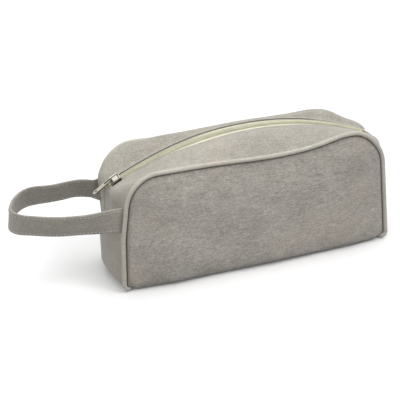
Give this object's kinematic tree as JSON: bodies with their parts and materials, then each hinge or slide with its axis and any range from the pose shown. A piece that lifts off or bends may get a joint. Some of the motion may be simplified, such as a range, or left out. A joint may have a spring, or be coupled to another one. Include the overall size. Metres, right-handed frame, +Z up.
{
  "type": "toiletry bag",
  "caption": "Box-shaped toiletry bag in soft leatherette with piped edges, an arched top zip with a slider and pull, and a wrist strap on one end.",
  "frame": {"origin": "middle of the flat underside, on the floor", "axes": "+X along the bag's length away from the wrist strap, +Y from the front panel to the back panel, +Z up"},
  "size_m": [0.35, 0.0756, 0.1238],
  "materials": {
    "panel_leather": "fine-grained soft leatherette, matt",
    "gusset_leather": "fine-grained soft leatherette, matt",
    "piping_leather": "leatherette stretched round a cord",
    "strap_leather": "leatherette with stitched edges",
    "strap_filler": "woven interlining",
    "foam": "soft foam",
    "lining": "thin woven lining",
    "cord": "twisted cord",
    "binding": "woven tape",
    "zip_tape": "woven zip tape",
    "zip_coil": "moulded nylon coil",
    "zip_metal": "polished nickel"
  },
  "bodies": {
    "bag": {"front_panel": "panel_leather", "back_panel": "panel_leather", "front_foam": "foam", "back_foam": "foam", "front_seam_binding": "binding", "back_seam_binding": "binding", "front_lining": "lining", "back_lining": "lining", "front_piping": "piping_leather", "back_piping": "piping_leather", "front_piping_cord": "cord", "back_piping_cord": "cord", "zip_gusset_front": "gusset_leather", "zip_gusset_back": "gusset_leather", "zip_tape_front": "zip_tape", "zip_tape_back": "zip_tape", "coil_front": "zip_coil", "coil_back": "zip_coil", "top_stop_front": "zip_metal", "top_stop_back": "zip_metal", "bottom_stop": "zip_metal", "bottom_panel": "gusset_leather", "left_end_panel": "gusset_leather", "right_end_panel": "gusset_leather", "left_end_lining": "lining", "right_end_lining": "lining", "bottom_lining": "lining", "left_zip_tab": "gusset_leather", "right_zip_tab": "gusset_leather", "strap_front_anchor": "strap_leather", "strap_back_anchor": "strap_leather"},
    "slider": {"slider_body": "zip_metal", "slider_bail": "zip_metal"},
    "pull": {"pull": "zip_metal"},
    "strap": {"strap_outer": "strap_leather", "strap_core": "strap_filler", "strap_inner": "strap_leather"}
  },
  "joints": [
    {"name": "zip_run", "type": "hinge", "parent": "bag", "child": "slider", "pos_m": [0.005, 0, -0.158], "axis": [0, 1, 0], "range_deg": [0, 50]},
    {"name": "pull_swing", "type": "hinge", "parent": "slider", "child": "pull", "pos_m": [-0.12606, 0, 0.09492], "axis": [0, 1, 0], "range_deg": [0, 192]},
    {"name": "strap_swing", "type": "hinge", "parent": "bag", "child": "strap", "pos_m": [-0.146, 0, 0.0695], "axis": [0, 1, 0], "range_deg": [-30, 55], "stiffness_Nm_per_rad": 0.05}
  ]
}
